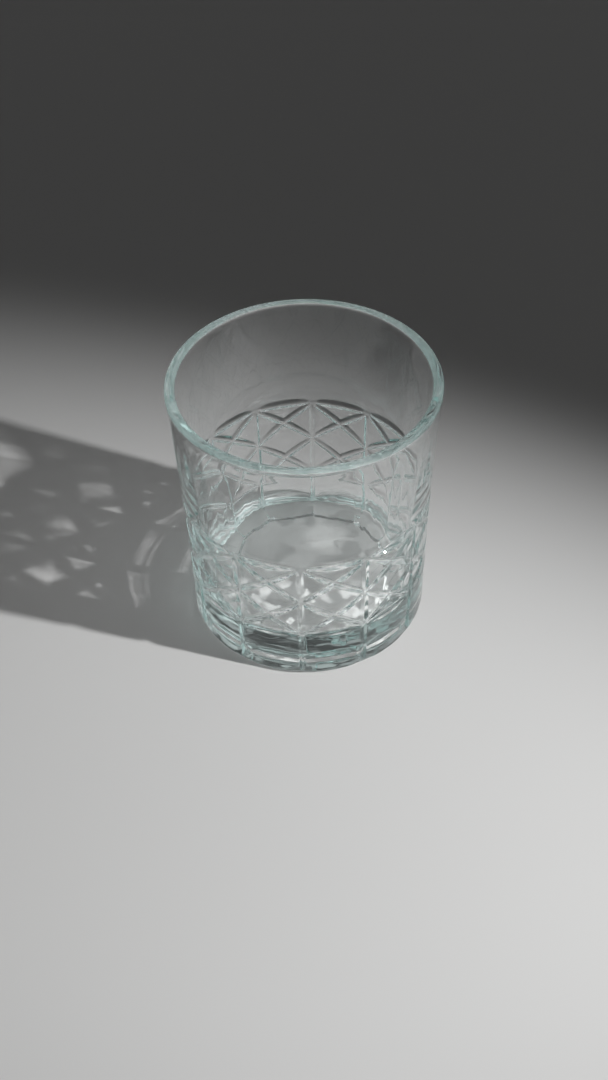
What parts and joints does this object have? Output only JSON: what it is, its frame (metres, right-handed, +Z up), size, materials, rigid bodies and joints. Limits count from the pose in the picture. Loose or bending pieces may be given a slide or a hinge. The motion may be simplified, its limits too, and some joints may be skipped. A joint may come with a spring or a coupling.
{
  "type": "rocks glass",
  "caption": "One-piece rocks glass with a thick base, a gently flared smooth upper wall and a cut lattice of diamonds and stars round its lower half, for short drinks.",
  "frame": {"origin": "centre of the standing ring, on the surface that the glass stands on", "axes": "+Z up along the axis of the glass; an upright cut of the lattice faces -Y"},
  "size_m": [0.084, 0.084, 0.091],
  "materials": {
    "clear_glass": "clear pressed soda-lime glass, fire polished, with a faint aqua tint where it is thick"
  },
  "bodies": {
    "root": {"tumbler": "clear_glass"}
  },
  "joints": []
}
